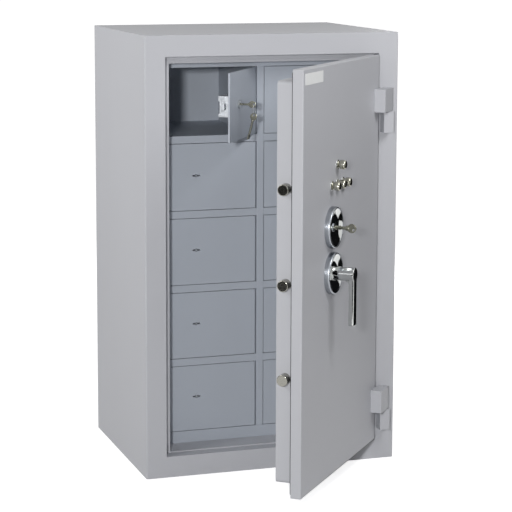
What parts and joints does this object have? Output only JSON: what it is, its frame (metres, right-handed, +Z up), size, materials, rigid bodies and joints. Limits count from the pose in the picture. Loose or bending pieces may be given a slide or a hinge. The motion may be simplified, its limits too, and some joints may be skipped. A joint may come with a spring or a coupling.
{
  "type": "safe deposit box cabinet",
  "caption": "Steel safe with one thick hinged door, bolt work, key lock and turned knobs, holding two columns of small lockers with doors of their own.",
  "frame": {"origin": "middle of the cabinet's base, on the floor", "axes": "+Z up, -Y out of the front face that the door closes, +X to the hinge side"},
  "size_m": [0.72, 1.0409, 1.2],
  "materials": {
    "casing_paint": "light grey textured powder coat",
    "door_paint": "grey textured powder coat",
    "locker_paint": "blue-grey semi-gloss powder coat",
    "fill": "cast concrete barrier mix",
    "barrier_plate": "hard plate",
    "zinc": "zinc-plated steel",
    "chrome": "polished chrome plate",
    "nickel": "nickel-plated steel",
    "seal": "soft strip",
    "label": "plain white film"
  },
  "bodies": {
    "cabinet": {"outer_casing": "casing_paint", "barrier_fill": "fill", "inner_liner": "casing_paint", "door_frame": "casing_paint", "frame_hinge_blocks": "casing_paint", "locker_panels": "locker_paint", "locker_shelves": "locker_paint", "locker_rails": "locker_paint", "locker_stiles": "locker_paint", "locker_hinge_pins": "nickel"},
    "door_hinge_pins": {"hinge_pins": "nickel"},
    "main_door": {"door_plate": "door_paint", "door_barrier": "barrier_plate", "bolt_case": "door_paint", "case_screws": "zinc", "door_seal": "seal", "door_hinge_blocks": "door_paint", "label_plate": "label", "handle_rosette": "chrome", "lock_escutcheon": "chrome", "main_lock_case": "zinc", "combination_lock": "zinc", "knob_flanges": "chrome"},
    "bolt_bar": {"bolt_bar": "zinc"},
    "locking_bolts": {"locking_bolts": "nickel"},
    "handle": {"handle": "chrome", "handle_spindle": "zinc"},
    "main_key": {"main_key": "chrome"},
    "main_lock_bolt": {"main_lock_bolt": "zinc"},
    "knob_top": {"knob_top": "chrome"},
    "knob_left": {"knob_left": "chrome"},
    "knob_middle": {"knob_middle": "chrome"},
    "knob_right": {"knob_right": "chrome"},
    "locker_1_pins": {"locker_1_hinge_pins": "nickel"},
    "locker_left_1": {"locker_door_left_1": "locker_paint", "locker_lock_left_1": "zinc"},
    "locker_latch_left_1": {"locker_latch_left_1": "zinc"},
    "locker_key_nose": {"locker_key_nose": "chrome"},
    "locker_key": {"locker_key": "chrome"},
    "key_ring": {"key_ring": "chrome"},
    "spare_key": {"spare_key": "chrome"},
    "locker_left_2": {"locker_door_left_2": "locker_paint", "locker_lock_left_2": "zinc"},
    "locker_left_3": {"locker_door_left_3": "locker_paint", "locker_lock_left_3": "zinc"},
    "locker_left_4": {"locker_door_left_4": "locker_paint", "locker_lock_left_4": "zinc"},
    "locker_left_5": {"locker_door_left_5": "locker_paint", "locker_lock_left_5": "zinc"},
    "locker_right_1": {"locker_door_right_1": "locker_paint", "locker_lock_right_1": "zinc"},
    "locker_right_2": {"locker_door_right_2": "locker_paint", "locker_lock_right_2": "zinc"},
    "locker_right_3": {"locker_door_right_3": "locker_paint", "locker_lock_right_3": "zinc"},
    "locker_right_4": {"locker_door_right_4": "locker_paint", "locker_lock_right_4": "zinc"},
    "locker_right_5": {"locker_door_right_5": "locker_paint", "locker_lock_right_5": "zinc"}
  },
  "joints": [
    {"name": "main_door_close", "type": "hinge", "parent": "cabinet", "child": "door_hinge_pins", "pos_m": [0.323, -0.295, 0.989], "axis": [0, 0, 1], "range_deg": [-50, 0]},
    {"name": "main_door_open", "type": "hinge", "parent": "door_hinge_pins", "child": "main_door", "pos_m": [0.323, -0.295, 0.989], "axis": [0, 0, 1], "range_deg": [0, 70]},
    {"name": "handle_turn", "type": "hinge", "parent": "main_door", "child": "handle", "pos_m": [0.04836, -0.59585, 0.603], "axis": [-0.766, 0.6428, 0], "range_deg": [0, 90]},
    {"name": "bolt_bar_slide", "type": "slide", "parent": "main_door", "child": "bolt_bar", "axis": [0.6428, 0.766, 0], "range_m": [0, 0.024]},
    {"name": "bolts_draw_back", "type": "slide", "parent": "bolt_bar", "child": "locking_bolts", "axis": [-0.6428, -0.766, 0], "range_m": [-0.024, 0]},
    {"name": "main_key_turn", "type": "hinge", "parent": "main_door", "child": "main_key", "pos_m": [0.04836, -0.59585, 0.722], "axis": [-0.766, 0.6428, 0], "range_deg": [-180, 0]},
    {"name": "main_lock_bolt_slide", "type": "slide", "parent": "main_door", "child": "main_lock_bolt", "axis": [0, 0, 1], "range_m": [0, 0.01]},
    {"name": "knob_top_turn", "type": "hinge", "parent": "main_door", "child": "knob_top", "pos_m": [0.0744, -0.56483, 0.8795], "axis": [0.766, -0.6428, 0], "continuous": true},
    {"name": "knob_left_turn", "type": "hinge", "parent": "main_door", "child": "knob_left", "pos_m": [0.04676, -0.59777, 0.8295], "axis": [0.766, -0.6428, 0], "continuous": true},
    {"name": "knob_middle_turn", "type": "hinge", "parent": "main_door", "child": "knob_middle", "pos_m": [0.0744, -0.56483, 0.8295], "axis": [0.766, -0.6428, 0], "continuous": true},
    {"name": "knob_right_turn", "type": "hinge", "parent": "main_door", "child": "knob_right", "pos_m": [0.10204, -0.53189, 0.8295], "axis": [0.766, -0.6428, 0], "continuous": true},
    {"name": "locker_1_shuts_with_main_door", "type": "hinge", "parent": "cabinet", "child": "locker_1_pins", "pos_m": [-0.0165, -0.1605, 1.009], "axis": [0, 0, 1], "range_deg": [-56, 0]},
    {"name": "locker_left_1_shut", "type": "hinge", "parent": "locker_1_pins", "child": "locker_left_1", "pos_m": [-0.0165, -0.1605, 1.009], "axis": [0, 0, -1], "range_deg": [0, 56]},
    {"name": "locker_key_turn", "type": "hinge", "parent": "locker_left_1", "child": "locker_key_nose", "pos_m": [-0.1063, -0.30257, 1.01592], "axis": [0.829, -0.5592, 0], "range_deg": [0, 90]},
    {"name": "locker_latch_slide", "type": "slide", "parent": "locker_left_1", "child": "locker_latch_left_1", "axis": [-0.5592, -0.829, 0], "range_m": [0, 0.009]},
    {"name": "locker_key_push", "type": "slide", "parent": "locker_key_nose", "child": "locker_key", "axis": [0.829, -0.5592, 0], "range_m": [-0.02, 0]},
    {"name": "key_ring_swing", "type": "hinge", "parent": "locker_key", "child": "key_ring", "pos_m": [-0.07148, -0.32606, 1.01452], "axis": [-0.829, 0.5592, 0], "range_deg": [-12, 12]},
    {"name": "spare_key_swing", "type": "hinge", "parent": "key_ring", "child": "spare_key", "pos_m": [-0.07148, -0.32606, 0.98952], "axis": [0.5592, 0.829, 0], "range_deg": [-14, 5]},
    {"name": "locker_left_2_open", "type": "hinge", "parent": "cabinet", "child": "locker_left_2", "pos_m": [-0.0165, -0.1605, 0.8025], "axis": [0, 0, 1], "range_deg": [0, 100]},
    {"name": "locker_left_3_open", "type": "hinge", "parent": "cabinet", "child": "locker_left_3", "pos_m": [-0.0165, -0.1605, 0.596], "axis": [0, 0, 1], "range_deg": [0, 100]},
    {"name": "locker_left_4_open", "type": "hinge", "parent": "cabinet", "child": "locker_left_4", "pos_m": [-0.0165, -0.1605, 0.3895], "axis": [0, 0, 1], "range_deg": [0, 100]},
    {"name": "locker_left_5_open", "type": "hinge", "parent": "cabinet", "child": "locker_left_5", "pos_m": [-0.0165, -0.1605, 0.183], "axis": [0, 0, 1], "range_deg": [0, 100]},
    {"name": "locker_right_1_open", "type": "hinge", "parent": "cabinet", "child": "locker_right_1", "pos_m": [0.2655, -0.1605, 1.009], "axis": [0, 0, 1], "range_deg": [0, 55]},
    {"name": "locker_right_2_open", "type": "hinge", "parent": "cabinet", "child": "locker_right_2", "pos_m": [0.2655, -0.1605, 0.8025], "axis": [0, 0, 1], "range_deg": [0, 55]},
    {"name": "locker_right_3_open", "type": "hinge", "parent": "cabinet", "child": "locker_right_3", "pos_m": [0.2655, -0.1605, 0.596], "axis": [0, 0, 1], "range_deg": [0, 55]},
    {"name": "locker_right_4_open", "type": "hinge", "parent": "cabinet", "child": "locker_right_4", "pos_m": [0.2655, -0.1605, 0.3895], "axis": [0, 0, 1], "range_deg": [0, 55]},
    {"name": "locker_right_5_open", "type": "hinge", "parent": "cabinet", "child": "locker_right_5", "pos_m": [0.2655, -0.1605, 0.183], "axis": [0, 0, 1], "range_deg": [0, 55]}
  ],
  "couplings": [
    {"joint": "bolt_bar_slide", "follows": "handle_turn", "m_per_rad": 0.015279},
    {"joint": "bolts_draw_back", "follows": "main_door_close", "m_per_rad": 0.027502},
    {"joint": "main_lock_bolt_slide", "follows": "main_key_turn", "m_per_rad": -0.0031831},
    {"joint": "locker_1_shuts_with_main_door", "follows": "main_door_close", "ratio": 1.12},
    {"joint": "locker_latch_slide", "follows": "locker_key_turn", "m_per_rad": 0.0057296},
    {"joint": "locker_key_push", "follows": "main_door_close", "m_per_rad": 0.022918}
  ]
}
